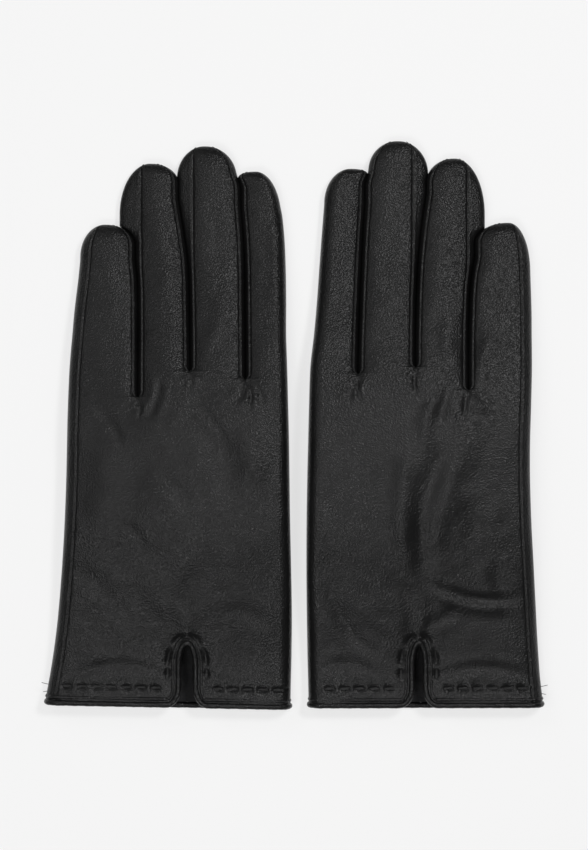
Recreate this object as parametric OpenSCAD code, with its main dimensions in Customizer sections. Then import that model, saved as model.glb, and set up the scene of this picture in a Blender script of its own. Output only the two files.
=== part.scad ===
// A pair of lined leather dress gloves lying backs up, with their thumbs folded under the palms.
// Each glove is cut like the real one: a folded hand leather, fourchettes between the fingers,
// a set-in thumb, a bound hem with a vent, and a lining. Every glove is built round its own
// middle line, with x towards the thumb and v up from the hem, and the right one is mirrored.

/* [Size] */
// Length of a glove from its hem to its middle fingertip (mm)
glove_length = 242; // [232:1:252]
// Distance between the middle lines of the two gloves (mm)
pair_spacing = 106.1; // [104:0.1:125]
// Height of the flattened hand from palm to back (mm)
hand_height = 12; // [11:0.5:13]
// Height of a flattened finger just before its tip (mm)
tip_height = 9.6; // [9:0.2:11]
// Height of the flattened thumb (mm)
thumb_height = 8.4; // [7.8:0.2:8.6]

/* [Materials] */
// Thickness of the leather (mm)
leather = 0.9; // [0.7:0.1:1.1]
// Thickness of the lining (mm)
lining = 0.7; // [0.5:0.1:0.8]
// Radius of the rolled binding at the hem (mm)
binding_radius = 1.3; // [1.1:0.1:1.4]
// Radius of the decorative thread (mm)
thread_radius = 0.3; // [0.2:0.05:0.35]

/* [Cuff] */
// Distance from the hem to the row of picked stitches (mm)
picking_height = 8.5; // [7.5:0.5:9]
// Spacing of the picked stitches (mm)
picking_pitch = 6.3; // [5.5:0.1:7]
// Length of one picked stitch (mm)
picked_stitch = 4; // [3:0.5:5]
// Height of the vent from the hem to the top of its binding (mm)
vent_height = 31; // [26:1:34]

/* [Part] */
// Which part to show

/* [Hidden] */
drawn_length = 242;
grow = glove_length / drawn_length;
left = 0;
right = 1;
little = 0;
ring = 1;
middle = 2;
index = 3;

// The lines that divide each glove, as [v, x]: its outer edge, the three gaps between the
// fingers and its inner edge, for the left and then the right glove.
dividing_lines = [
    [
        [[0, -54], [12, -51.9], [38, -48.4], [80, -45], [131, -43.7], [165, -42], [190, -39.3]],
        [[130, -14], [165, -14.4], [190, -15.4], [214, -21.2], [225, -21.4]],
        [[140, 8], [165, 7.5], [192, 6.6], [216, 2.6], [228, 1.3]],
        [[140, 31.3], [165, 31], [195, 30.6], [212, 29.4], [225, 28]],
        [[0, 49.9], [40, 50.6], [80, 49.8], [114, 49.4], [150, 48.5], [182, 48.4], [204, 47.5], [215, 46.3]]
    ],
    [
        [[0, -51.5], [12, -50.2], [38, -48.5], [80, -46], [100, -45.2], [131, -46], [165, -46.8], [190, -46.3]],
        [[130, -19], [165, -19.8], [189, -21.6], [206, -27.6], [217, -27.2]],
        [[140, 3.2], [165, 2.8], [190, 1.7], [212, -0.8], [230, -3.6]],
        [[140, 27.5], [165, 26.8], [187, 25.8], [208, 24.7], [225, 23.2]],
        [[0, 47.7], [38, 48.5], [80, 48.7], [114, 48], [148, 46.9], [165, 45.2], [182, 43.9], [200, 42.6], [212, 41.4]]
    ]
];
// Fingertips as [v, x], from the little finger to the index finger.
fingertips = [
    [[206.4, -28.4], [232.4, -8.9], [239.8, 13.7], [229, 34.8]],
    [[207.2, -37], [234.6, -13.4], [242, 10.4], [230.2, 29.4]]
];
// The bottom of the gap beside the little, ring and middle fingers.
crotch_heights = [[132.8, 143.7, 140.4], [135.9, 145.4, 142.7]];
// Middle of the vent.
vent_middles = [6.5, 1.5];

// How the gloves lie
half_length = drawn_length / 2;
outer_half_widths = [54, 51.5];
widen = (outer_half_widths[left] - outer_half_widths[right]) / 2;
thumb_room = thumb_height + 1;
hem_room = binding_radius - leather / 2;
outer_sink = 0.5;
fold_width = 7;

// Fingers
knuckle_line = 153;
knuckle_reach = 6.5;
hand_end = knuckle_line - knuckle_reach;
finger_start = knuckle_line + knuckle_reach;
finger_gap = 0.6;
tip_reach = 15;
tip_roundness = 2.3;
tip_fullness = 3.5;
crotch_radius = 2.1;
crotch_play = 0.5;

// Linings
lining_gap = 0.1;
lining_skin = leather + lining_gap;
lining_inside = lining_skin + lining;

// Thumb
thumb_hinge = 78;
thumb_joint_reach = 6.2;
thumb_start = thumb_hinge + thumb_joint_reach;
thumb_tip = 134;
thumb_middle = 23;
thumb_half_width = 12;
thumb_tip_reach = 14;
thumb_base_start = 40;
thumb_base_end = thumb_hinge - thumb_joint_reach;
thumb_hole_radius = 8;

// Cuff
hem_line = binding_radius;
leather_start = 2 * binding_radius + 0.05;
vent_radius = 3.85;
vent_flare = 5;
flare_height = 9;
topstitch_height = 4.8;
topstitch_radius = 0.2;
seam_radius = 0.3;
thread_play = 0.12;
topstitch_play = 0.3;

// Where round a section each point lies: the arc it is on (-1 the outer fold, 1 the inner fold,
// between them the flat) and its angle.
arc_angles = [15, 45, 70, 90];
seam_angle = 110;
seam_slit = 1.5;
inner_fold = concat([for (i = [3 : -1 : 0]) [1, -arc_angles[i]]], [for (a = arc_angles) [1, a]]);
outer_fold = [for (s = inner_fold) [-1, 180 + s[1]]];
function flat_spots(count, angle) = [for (i = [1 : count]) [(1 - 2 * i / (count + 1)) * sin(angle), angle]];
finger_round = concat(inner_fold, outer_fold);
hand_round = concat(
    [[-1, seam_angle + seam_slit], [-1, 135]],
    [for (i = [3 : 7]) [-1, 180 + inner_fold[i][1]]],
    flat_spots(5, 270),
    inner_fold,
    flat_spots(5, 90),
    [[-1, 90], [-1, seam_angle - seam_slit]]
);
lining_round = [for (side = [0, 1]) for (a = [-90, -45, 45, 90]) [1 - 2 * side, a + 180 * side]];
hand_lining_round = concat(
    [for (i = [0 : 3]) lining_round[i]], flat_spots(5, 90),
    [for (i = [4 : 7]) lining_round[i]], flat_spots(5, 270)
);

// ---- shared functions ----

function ramp(a, b, v) = let (t = min(max((v - a) / (b - a), 0), 1)) t * t * (3 - 2 * t);

// Height of the palm above the table: it lies over the folded thumb and comes down at the cuff,
// the fingertips and the outer edge.
function lift(x, v) =
    hem_room * (1 - ramp(10, 13, v))
    + thumb_room * ramp(24, 66, v) * (1 - ramp(128, 192, v))
    * (outer_sink + (1 - outer_sink) * ramp(-46, -6, x));

function height(v) = hand_height + (tip_height - hand_height) * ramp(100, 215, v);

function slope(line, i) =
    let (a = line[max(i - 1, 0)], b = line[min(i + 1, len(line) - 1)]) (b[1] - a[1]) / (b[0] - a[0]);

// Smooth x at v of a line given as [v, x] points.
function line_x(line, v) =
    v <= line[0][0] ? line[0][1]
    : v >= line[len(line) - 1][0] ? line[len(line) - 1][1]
    : let (
        i = max([for (k = [0 : len(line) - 2]) if (line[k][0] <= v) k]),
        run = line[i + 1][0] - line[i][0],
        t = (v - line[i][0]) / run
    )
    line[i][1] * (1 + 2 * t) * (1 - t) * (1 - t)
    + slope(line, i) * run * t * (1 - t) * (1 - t)
    + line[i + 1][1] * t * t * (3 - 2 * t)
    + slope(line, i + 1) * run * t * t * (t - 1);

function rounded(s, power) = s <= 0 ? 1 : pow(1 - pow(s, power), 1 / power);

// A point of a flattened tube between two edges, at a spot round its section.
function tube_point(low_x, high_x, middle_z, half_height, fold, v, spot) =
    let (x = (low_x + high_x) / 2 + spot[0] * ((high_x - low_x) / 2 - fold) + fold * cos(spot[1]))
    [x * grow, (v - half_length) * grow, middle_z + half_height * sin(spot[1])];

// A point of the hand, inset from its outer face.
function hand_point(hand, inset, v, spot) =
    let (
        lines = dividing_lines[hand],
        low_x = line_x(lines[0], v) + inset,
        high_x = line_x(lines[4], v) - inset,
        x = (low_x + high_x) / 2 + spot[0] * ((high_x - low_x) / 2 - fold_width)
    )
    tube_point(low_x, high_x, lift(x, v) + height(v) / 2, height(v) / 2 - inset, fold_width - inset, v, spot);

// A point of the back of the hand, given by its x.
function back_point(hand, inset, x, v) =
    let (
        lines = dividing_lines[hand],
        low_x = line_x(lines[0], v),
        high_x = line_x(lines[4], v),
        arc = (x - (low_x + high_x) / 2) / ((high_x - low_x) / 2 - fold_width)
    )
    hand_point(hand, inset, v, [arc, 90]);

// v of a finger's row: rows from -1 to 0 run along its straight part, from 0 to 1 round its tip.
function row_v(row, start, tip, reach) =
    row < 0 ? tip - reach + row * (tip - reach - start) : tip - reach + row * reach;

function finger_point(hand, finger, inset, row, spot) =
    let (
        tip = fingertips[hand][finger],
        v = row_v(row, finger_start, tip[0], tip_reach) - inset * max(row, 0),
        low_x = line_x(dividing_lines[hand][finger], v) + finger_gap / 2 + inset,
        high_x = line_x(dividing_lines[hand][finger + 1], v) - finger_gap / 2 - inset,
        taper = rounded(row, tip_roundness),
        low = tip[1] + (low_x - tip[1]) * taper,
        high = tip[1] + (high_x - tip[1]) * taper,
        fold = min(fold_width - inset, (high - low) / 2 - 0.2),
        half_height = (height(v) / 2 - inset) * rounded(row, tip_fullness)
    )
    tube_point(low, high, lift(tip[1], v) + height(v) / 2, half_height, fold, v, spot);

function knuckle_point(hand, finger, inset, v, spot) =
    let (
        low_x = line_x(dividing_lines[hand][finger], v) + finger_gap / 2 + inset,
        high_x = line_x(dividing_lines[hand][finger + 1], v) - finger_gap / 2 - inset
    )
    tube_point(
        low_x, high_x, lift(fingertips[hand][finger][1], v) + height(v) / 2,
        height(v) / 2 - inset, fold_width - inset, v, spot
    );

function thumb_point(inset, row, spot) =
    let (
        v = row_v(row, thumb_start, thumb_tip, thumb_tip_reach) - inset * max(row, 0),
        half_width = (thumb_half_width - inset) * rounded(row, tip_roundness),
        half_height = (thumb_height / 2 - inset) * rounded(row, tip_fullness)
    )
    tube_point(
        thumb_middle - half_width, thumb_middle + half_width, thumb_height / 2, half_height,
        min(thumb_height - inset, half_width - 0.2), v, spot
    );

// A point of the bowl of leather that joins the thumb to the hole in the palm.
function thumb_base_point(inset, v, spot) =
    let (
        opened = sqrt(ramp(thumb_base_start - 4, thumb_base_start + 22, v)),
        half_width = thumb_half_width * opened - inset,
        depth = lift(thumb_middle, v) - 0.35
    )
    tube_point(
        thumb_middle - half_width, thumb_middle + half_width, depth, depth - inset,
        min(thumb_height, half_width) - 0.2, v, spot
    );

// Straight sides and round top of the vent's edge, from the hem up and back down to it.
function vent_side(away) = concat(
    [for (q = [90 : -15 : 0])
        [vent_radius + vent_flare - (vent_flare - away) * cos(q),
         flare_height - (flare_height - hem_line - away) * sin(q)]],
    [for (q = [0 : 15 : 90])
        [(vent_radius + away) * cos(q),
         vent_height - binding_radius - vent_radius + (vent_radius + away) * sin(q)]]
);
function vent_edge(hand, away) =
    let (side = vent_side(away), last = len(side) - 1)
    concat(
        [for (p = side) [vent_middles[hand] + p[0], p[1]]],
        [for (i = [last - 1 : -1 : 0]) [vent_middles[hand] - side[i][0], side[i][1]]]
    );

// ---- shared shapes ----

// Puts a glove in its place: the right one is the mirror image.
module worn(hand) {
    translate([(hand == left ? -1 : 1) * pair_spacing * grow / 2 + widen * grow, 0, 0])
        mirror([hand, 0, 0])
            children();
}

// A wall between two matching grids of points. Rows run along it and columns run round it. Cells
// that `gone` lists as [first column, last column, first row, last row] are left open, and every
// open edge is closed by a wall. A capped wall is closed over its last row.
module wall(outer, inner, gone = [], capped = false) {
    rows = len(outer);
    cols = len(outer[0]);
    size = rows * cols;
    function stands(r, c) =
        r >= 0 && r < rows - 1
        && len([for (g = gone) if (c >= g[0] && c <= g[1] && r >= g[2] && r <= g[3]) 1]) == 0;
    function at(r, c) = r * cols + (c + cols) % cols;
    outside = [for (r = [0 : rows - 2]) for (c = [0 : cols - 1]) if (stands(r, c)) each [
        [at(r, c), at(r + 1, c), at(r + 1, c + 1)],
        [at(r, c), at(r + 1, c + 1), at(r, c + 1)]
    ]];
    inside = [for (f = outside) [f[2] + size, f[1] + size, f[0] + size]];
    ends = [for (r = [0 : rows - 2]) for (c = [0 : cols - 1]) if (stands(r, c)) each concat(
        stands(r - 1, c) ? [] : strip_faces(at(r, c), at(r, c + 1), size),
        stands(r + 1, c) || (capped && r == rows - 2) ? [] : strip_faces(at(r + 1, c + 1), at(r + 1, c), size),
        stands(r, (c + cols - 1) % cols) ? [] : strip_faces(at(r + 1, c), at(r, c), size),
        stands(r, (c + 1) % cols) ? [] : strip_faces(at(r, c + 1), at(r + 1, c + 1), size)
    )];
    cap = !capped ? [] : [
        [for (c = [cols - 1 : -1 : 0]) at(rows - 1, c)],
        [for (c = [0 : cols - 1]) at(rows - 1, c) + size]
    ];
    polyhedron(
        [for (row = outer) each row, for (row = inner) each row],
        concat(outside, inside, ends, cap),
        convexity = 8
    );
}
function strip_faces(a, b, size) = [[a, b, b + size], [a, b + size, a + size]];

// A thin rope along a path; `outward` holds the direction of the surface under each point.
module rope(path, outward, radius, sides, loop = false) {
    count = len(path);
    function unit(w) = w / norm(w);
    rings = [for (i = [0 : count - 1])
        let (
            ahead = loop ? path[(i + 1) % count] : path[min(i + 1, count - 1)],
            behind = loop ? path[(i + count - 1) % count] : path[max(i - 1, 0)],
            along = unit(ahead - behind),
            across = unit(cross(along, outward[i])),
            up = cross(across, along)
        )
        for (s = [0 : sides - 1])
            let (a = 360 * (s + 0.5) / sides)
            path[i] + radius * (up * cos(a) + across * sin(a))];
    last = loop ? count - 1 : count - 2;
    faces = [for (i = [0 : last]) for (s = [0 : sides - 1])
        let (a = i * sides + s, b = i * sides + (s + 1) % sides, step = (i + 1) % count * sides)
        each [[a, b, step + (s + 1) % sides], [a, step + (s + 1) % sides, step + s]]];
    ends = loop ? [] : [
        [for (s = [sides - 1 : -1 : 0]) s],
        [for (s = [0 : sides - 1]) (count - 1) * sides + s]
    ];
    polyhedron([for (p = rings) p], concat(faces, ends), convexity = 8);
}

// ---- hand ----

hand_rows = [leather_start, 8, 13, 24, 34, 45, 56, 68, 90, 112, 128, 138, hand_end];
lining_start = 5;
lining_rows = concat([lining_start], [for (v = hand_rows) if (v > lining_start) v]);

module leather_colour() color([0.07, 0.07, 0.075]) children();
module lining_colour() color([0.16, 0.16, 0.17]) children();
module thread_colour() color([0.03, 0.03, 0.03]) children();

// Cuts the vent through the back only.
module vent_cut(hand, away) {
    translate([0, -half_length * grow, height(0) / 2 + hem_room])
        linear_extrude(hand_height)
            polygon(concat(
                grow * vent_edge(hand, away),
                [for (side = [-1, 1]) grow * [vent_middles[hand] + side * (vent_radius + vent_flare), 0]]
            ));
}

// Cuts the gaps between the fingers back to their crotches.
module crotch_cuts(hand, radius, low, high) {
    for (gap = [0 : 2])
        let (
            x = line_x(dividing_lines[hand][gap + 1], hand_end) * grow,
            start = (crotch_heights[hand][gap] + crotch_radius - half_length) * grow,
            end = (hand_end - half_length) * grow
        ) {
            translate([x, start, low])
                cylinder(h = high - low, r = radius, $fn = 24);
            translate([x - radius, start, low])
                cube([2 * radius, max(end - start, 0) + 0.01, high - low]);
        }
}

module hand_leather(hand) {
    last = len(hand_round) - 1;
    leather_colour()
        worn(hand)
            difference() {
                wall(
                    [for (v = hand_rows) [for (s = hand_round) hand_point(hand, 0, v, s)]],
                    [for (v = hand_rows) [for (s = hand_round) hand_point(hand, leather, v, s)]],
                    [[last, last, 0, 99]]
                );
                vent_cut(hand, binding_radius + 0.05);
                crotch_cuts(hand, crotch_radius, -1, 40);
                for (v = [50, 60])
                    translate([thumb_middle * grow, (v - half_length) * grow, -1])
                        cylinder(h = 9, r = thumb_hole_radius, $fn = 36);
                translate([(thumb_middle - thumb_hole_radius) * grow, (50 - half_length) * grow, -1])
                    cube([2 * thumb_hole_radius * grow, 10 * grow, 10]);
            }
}

module hand_lining(hand) {
    lining_colour()
        worn(hand)
            difference() {
                wall(
                    [for (v = lining_rows) [for (s = hand_lining_round) hand_point(hand, lining_skin, v, s)]],
                    [for (v = lining_rows) [for (s = hand_lining_round) hand_point(hand, lining_inside, v, s)]]
                );
                vent_cut(hand, binding_radius + 0.6);
                crotch_cuts(hand, crotch_radius + leather + lining_gap, -1, 40);
                for (v = [50, 60])
                    translate([thumb_middle * grow, (v - half_length) * grow, -1])
                        cylinder(h = 10.5, r = thumb_hole_radius, $fn = 36);
            }
}

// The short walls of leather that turn each gap between the fingers at its bottom.
module crotch_fourchettes(hand) {
    leather_colour()
        worn(hand)
            for (gap = [0 : 2])
                let (
                    x = line_x(dividing_lines[hand][gap + 1], hand_end),
                    v = crotch_heights[hand][gap] + crotch_radius,
                    reach = crotch_radius + leather,
                    low = lift(x, v - reach) + leather + crotch_play,
                    deep = lift(x, hand_end) + height(hand_end) - leather - crotch_play - low
                )
                    translate([x * grow, (v - half_length) * grow, low])
                        difference() {
                            union() {
                                cylinder(h = deep, r = reach, $fn = 36);
                                translate([-reach, 0, 0])
                                    cube([2 * reach, max(hand_end - v, 0.1) * grow, deep]);
                            }
                            translate([-2 * reach, (hand_end - v) * grow, -1])
                                cube([4 * reach, 2 * reach, deep + 2]);
                            translate([0, 0, -1])
                                cylinder(h = deep + 2, r = crotch_radius, $fn = 36);
                            translate([-crotch_radius, 0, -1])
                                cube([2 * crotch_radius, 40, deep + 2]);
                        }
}

module side_seam(hand) {
    rows = concat([topstitch_height + 0.6], [for (v = hand_rows) if (v > topstitch_height + 1) v]);
    spot = [-1, seam_angle];
    outward = [fold_width * cos(seam_angle) / hand_height * 2, 0, sin(seam_angle)];
    thread_colour()
        worn(hand)
            rope(
                [for (v = rows) hand_point(hand, -seam_radius - thread_play, v, spot)],
                [for (v = rows) outward], seam_radius, 6
            );
}

module hem_binding(hand) {
    middle_inset = leather / 2;
    lines = dividing_lines[hand];
    flat_half = (line_x(lines[4], hem_line) - line_x(lines[0], hem_line)) / 2 - fold_width;
    section_middle = (line_x(lines[4], hem_line) + line_x(lines[0], hem_line)) / 2;
    vent_spot = (vent_middles[hand] - section_middle) / flat_half;
    opening = (vent_radius + vent_flare) / flat_half;
    arc = [for (a = [0 : 30 : 180]) a];
    round_hem = concat(
        [for (t = [0.7, 0.35]) [vent_spot + opening + (1 - vent_spot - opening) * (1 - t), 90]],
        [for (a = arc) [1, 90 - a]],
        [for (k = [0.5, 0, -0.5]) [k, -90]],
        [for (a = arc) [-1, 270 - a]],
        [for (t = [0.35, 0.7]) [-1 + (vent_spot - opening + 1) * t, 90]]
    );
    edge = vent_edge(hand, 0);
    count = len(edge);
    path = concat(
        [for (s = round_hem) hand_point(hand, middle_inset, hem_line, s)],
        [for (i = [count - 1 : -1 : 0]) back_point(hand, middle_inset, edge[i][0], edge[i][1])]
    );
    outward = concat(
        [for (s = round_hem) [cos(s[1]), 0, sin(s[1])]],
        [for (p = edge) [0, 0, 1]]
    );
    leather_colour()
        worn(hand)
            rope(path, outward, binding_radius / cos(22.5), 8, true);
}

// The fine machine stitching that holds the binding's turned edge.
module hem_topstitch(hand) {
    side_reach = vent_radius + vent_flare + 1;
    lines = dividing_lines[hand];
    middle = (line_x(lines[4], topstitch_height) + line_x(lines[0], topstitch_height)) / 2;
    half = (line_x(lines[4], topstitch_height) - line_x(lines[0], topstitch_height)) / 2 - fold_width;
    inner_end = (vent_middles[hand] + side_reach - middle) / half;
    outer_end = (vent_middles[hand] - side_reach - middle) / half;
    spots = concat(
        [[inner_end, 90], [(inner_end + 1) / 2, 90]],
        [for (a = [90 : -30 : -90]) [1, a]],
        [for (a = [270 : -30 : 90]) [-1, a]],
        [[(outer_end - 1) / 2, 90], [outer_end, 90]]
    );
    thread_colour()
        worn(hand)
            rope(
                [for (s = spots) hand_point(hand, -topstitch_radius - topstitch_play, topstitch_height, s)],
                [for (s = spots) [cos(s[1]), 0, sin(s[1])]], topstitch_radius, 4
            );
}

// One picked stitch, lying along a direction on the back.
module picked_thread(hand, x, v, angle) {
    p = back_point(hand, -thread_radius - thread_play, x, v);
    translate(p)
        rotate([0, 0, angle])
            rotate([0, 90, 0])
                cylinder(h = picked_stitch, r = thread_radius, center = true, $fn = 16);
}

// The row of picked stitches across the back of the cuff and round the vent.
module cuff_stitching(hand) {
    away = 5;
    clear = vent_radius + away + picking_pitch / 2 + 2;
    low_x = line_x(dividing_lines[hand][0], picking_height) + fold_width + 1;
    high_x = line_x(dividing_lines[hand][4], picking_height) - fold_width - 1;
    x0 = vent_middles[hand];
    thread_colour()
        worn(hand) {
            for (x = [x0 + clear : picking_pitch : high_x])
                picked_thread(hand, x, picking_height, 0);
            for (x = [x0 - clear : -picking_pitch : low_x])
                picked_thread(hand, x, picking_height, 0);
            for (side = [-1, 1])
                for (v = [picking_height + picking_pitch : picking_pitch : vent_height - 4])
                    picked_thread(hand, x0 + side * (vent_radius + away), v, 90);
            picked_thread(hand, x0, vent_height + away - 1.5, 0);
        }
}

// ---- fingers ----

tip_row = 5;
finger_rows = [-1, -0.75, -0.5, -0.25, 0, 0.35, 0.6, 0.8, 0.93, 0.985];
// Columns of a finger's section whose cells are fourchette: inner side, then outer side.
inner_window = [2, 4, 0, tip_row - 1];
outer_window = [10, 12, 0, tip_row - 1];
finger_windows = [[inner_window], [inner_window, outer_window], [inner_window, outer_window], [outer_window]];

module finger_wall(hand, finger, gone, capped) {
    wall(
        [for (r = finger_rows) [for (s = finger_round) finger_point(hand, finger, 0, r, s)]],
        [for (r = finger_rows) [for (s = finger_round) finger_point(hand, finger, leather, r, s)]],
        gone, capped
    );
}

module finger_leather(hand, finger) {
    leather_colour()
        worn(hand)
            finger_wall(hand, finger, finger_windows[finger], true);
}

// The strips of leather that make a finger's sides.
module fourchettes(hand, finger) {
    cols = len(finger_round);
    leather_colour()
        worn(hand)
            for (w = finger_windows[finger])
                finger_wall(hand, finger, [[0, w[0] - 1, 0, 99], [w[1] + 1, cols, 0, 99], [0, cols, tip_row, 99]], false);
}

module finger_lining(hand, finger) {
    lining_colour()
        worn(hand)
            wall(
                [for (r = finger_rows) [for (s = lining_round) finger_point(hand, finger, lining_skin, r, s)]],
                [for (r = finger_rows) [for (s = lining_round) finger_point(hand, finger, lining_inside, r, s)]],
                [], true
            );
}

// The sewn edges round each fourchette, and down the outer side of the little finger.
module finger_seams(hand, finger) {
    along = [for (i = [0 : tip_row]) finger_rows[i]];
    back = [for (i = [tip_row : -1 : 0]) finger_rows[i]];
    thread_colour()
        worn(hand) {
            for (w = finger_windows[finger])
                let (
                    near = finger_round[w[0]],
                    far = finger_round[w[1] + 1],
                    across = [for (c = [w[0] + 1 : w[1]]) finger_round[c]],
                    spots = concat([for (r = along) near], across, [for (r = back) far]),
                    rows = concat(along, [for (c = across) finger_rows[tip_row]], back)
                )
                    rope(
                        [for (i = [0 : len(spots) - 1])
                            finger_point(hand, finger, -topstitch_radius, rows[i], spots[i])],
                        [for (s = spots) [cos(s[1]), 0, sin(s[1])]], topstitch_radius, 4
                    );
            if (finger == little)
                rope(
                    [for (r = along) finger_point(hand, finger, -seam_radius - thread_play, r, [-1, seam_angle])],
                    [for (r = along) [cos(seam_angle), 0, sin(seam_angle)]], seam_radius, 6
                );
        }
}

// The soft leather that folds at the knuckles and at the thumb's root.
module knuckle_leather(hand) {
    rows = [hand_end + 0.15, knuckle_line, finger_start - 0.15];
    thumb_rows = [thumb_base_end + 0.15, thumb_hinge, thumb_start - 0.15];
    leather_colour()
        worn(hand) {
            for (finger = [little, ring, middle, index])
                wall(
                    [for (v = rows) [for (s = finger_round) knuckle_point(hand, finger, 0, v, s)]],
                    [for (v = rows) [for (s = finger_round) knuckle_point(hand, finger, leather, v, s)]]
                );
            wall(
                [for (v = thumb_rows) [for (s = lining_round) thumb_ring_point(0, v, s)]],
                [for (v = thumb_rows) [for (s = lining_round) thumb_ring_point(leather, v, s)]]
            );
        }
}
function thumb_ring_point(inset, v, spot) = tube_point(
    thumb_middle - thumb_half_width + inset, thumb_middle + thumb_half_width - inset,
    thumb_height / 2, thumb_height / 2 - inset, thumb_height - inset, v, spot
);

// ---- thumb ----

thumb_rows = [-1, 0, 0.35, 0.6, 0.8, 0.93, 0.985];

module thumb_wall(outside, inside) {
    wall(
        [for (r = thumb_rows) [for (s = finger_round) thumb_point(outside, r, s)]],
        [for (r = thumb_rows) [for (s = finger_round) thumb_point(inside, r, s)]],
        [], true
    );
}

module thumb_leather(hand) {
    leather_colour()
        worn(hand)
            thumb_wall(0, leather);
}

module thumb_lining(hand) {
    lining_colour()
        worn(hand)
            wall(
                [for (r = thumb_rows) [for (s = lining_round) thumb_point(lining_skin, r, s)]],
                [for (r = thumb_rows) [for (s = lining_round) thumb_point(lining_inside, r, s)]],
                [], true
            );
}

// The thumb's one seam runs up its palm-side edge.
module thumb_seam(hand) {
    rows = [-1, -0.5, 0, 0.35, 0.6];
    thread_colour()
        worn(hand)
            rope(
                [for (r = rows) thumb_point(-seam_radius, r, [-1, 180])],
                [for (r = rows) [-1, 0, 0]], seam_radius, 6
            );
}

// A shallow bowl of leather, open upwards to the hole in the palm and forwards to the thumb.
module thumb_base(hand) {
    rows = [40, 44, 50, 58, 66, thumb_base_end];
    bowl_round = [[1, 0], [-1, 180], [-1, 210], [-1, 240], [-1, 270], [1, 270], [1, 300], [1, 330]];
    leather_colour()
        worn(hand)
            wall(
                [for (v = rows) [for (s = bowl_round) thumb_base_point(0, v, s)]],
                [for (v = rows) [for (s = bowl_round) thumb_base_point(leather, v, s)]],
                [[0, 0, 0, 99]]
            );
}

// ---- what is drawn ----

hand_leather(left);  // left_hand_leather
hand_lining(left);  // left_hand_lining
side_seam(left);  // left_side_seam
hem_binding(left);  // left_hem_binding
hem_topstitch(left);  // left_hem_topstitch
cuff_stitching(left);  // left_cuff_stitching
crotch_fourchettes(left);  // left_crotch_fourchettes
knuckle_leather(left);  // left_knuckle_leather
thumb_base(left);  // left_thumb_base
thumb_leather(left);  // left_thumb_leather
thumb_lining(left);  // left_thumb_lining
thumb_seam(left);  // left_thumb_seam
finger_leather(left, index);  // left_index_leather
fourchettes(left, index);  // left_index_fourchettes
finger_lining(left, index);  // left_index_lining
finger_seams(left, index);  // left_index_seams
finger_leather(left, middle);  // left_middle_leather
fourchettes(left, middle);  // left_middle_fourchettes
finger_lining(left, middle);  // left_middle_lining
finger_seams(left, middle);  // left_middle_seams
finger_leather(left, ring);  // left_ring_leather
fourchettes(left, ring);  // left_ring_fourchettes
finger_lining(left, ring);  // left_ring_lining
finger_seams(left, ring);  // left_ring_seams
finger_leather(left, little);  // left_little_leather
fourchettes(left, little);  // left_little_fourchettes
finger_lining(left, little);  // left_little_lining
finger_seams(left, little);  // left_little_seams
hand_leather(right);  // right_hand_leather
hand_lining(right);  // right_hand_lining
side_seam(right);  // right_side_seam
hem_binding(right);  // right_hem_binding
hem_topstitch(right);  // right_hem_topstitch
cuff_stitching(right);  // right_cuff_stitching
crotch_fourchettes(right);  // right_crotch_fourchettes
knuckle_leather(right);  // right_knuckle_leather
thumb_base(right);  // right_thumb_base
thumb_leather(right);  // right_thumb_leather
thumb_lining(right);  // right_thumb_lining
thumb_seam(right);  // right_thumb_seam
finger_leather(right, index);  // right_index_leather
fourchettes(right, index);  // right_index_fourchettes
finger_lining(right, index);  // right_index_lining
finger_seams(right, index);  // right_index_seams
finger_leather(right, middle);  // right_middle_leather
fourchettes(right, middle);  // right_middle_fourchettes
finger_lining(right, middle);  // right_middle_lining
finger_seams(right, middle);  // right_middle_seams
finger_leather(right, ring);  // right_ring_leather
fourchettes(right, ring);  // right_ring_fourchettes
finger_lining(right, ring);  // right_ring_lining
finger_seams(right, ring);  // right_ring_seams
finger_leather(right, little);  // right_little_leather
fourchettes(right, little);  // right_little_fourchettes
finger_lining(right, little);  // right_little_lining
finger_seams(right, little);  // right_little_seams
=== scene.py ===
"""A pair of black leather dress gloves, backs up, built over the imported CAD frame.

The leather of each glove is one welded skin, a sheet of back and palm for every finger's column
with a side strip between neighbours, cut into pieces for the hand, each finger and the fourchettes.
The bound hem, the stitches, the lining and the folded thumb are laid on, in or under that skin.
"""

import math

import bmesh
import bpy
import numpy as np
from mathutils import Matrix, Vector


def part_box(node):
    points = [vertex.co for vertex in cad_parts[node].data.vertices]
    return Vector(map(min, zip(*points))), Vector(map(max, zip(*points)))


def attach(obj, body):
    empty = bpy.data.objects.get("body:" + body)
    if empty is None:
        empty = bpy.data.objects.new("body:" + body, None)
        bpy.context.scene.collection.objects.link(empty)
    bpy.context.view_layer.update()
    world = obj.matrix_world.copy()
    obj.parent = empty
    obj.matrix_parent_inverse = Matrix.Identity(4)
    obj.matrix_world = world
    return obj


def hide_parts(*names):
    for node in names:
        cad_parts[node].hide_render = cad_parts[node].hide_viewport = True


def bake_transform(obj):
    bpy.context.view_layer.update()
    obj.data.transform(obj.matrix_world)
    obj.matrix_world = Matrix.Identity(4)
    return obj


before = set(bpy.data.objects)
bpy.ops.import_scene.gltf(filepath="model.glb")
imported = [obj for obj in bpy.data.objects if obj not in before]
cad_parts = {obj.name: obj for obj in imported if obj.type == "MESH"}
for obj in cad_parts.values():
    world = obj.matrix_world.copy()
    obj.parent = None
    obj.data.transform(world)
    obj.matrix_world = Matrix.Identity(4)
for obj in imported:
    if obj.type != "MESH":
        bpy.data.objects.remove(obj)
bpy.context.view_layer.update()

MM = 0.001
FINGERS = ("little", "ring", "middle", "index")
LITTLE, RING, MIDDLE, INDEX = range(4)
UP = np.array([0, 0, 1.0])

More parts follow.
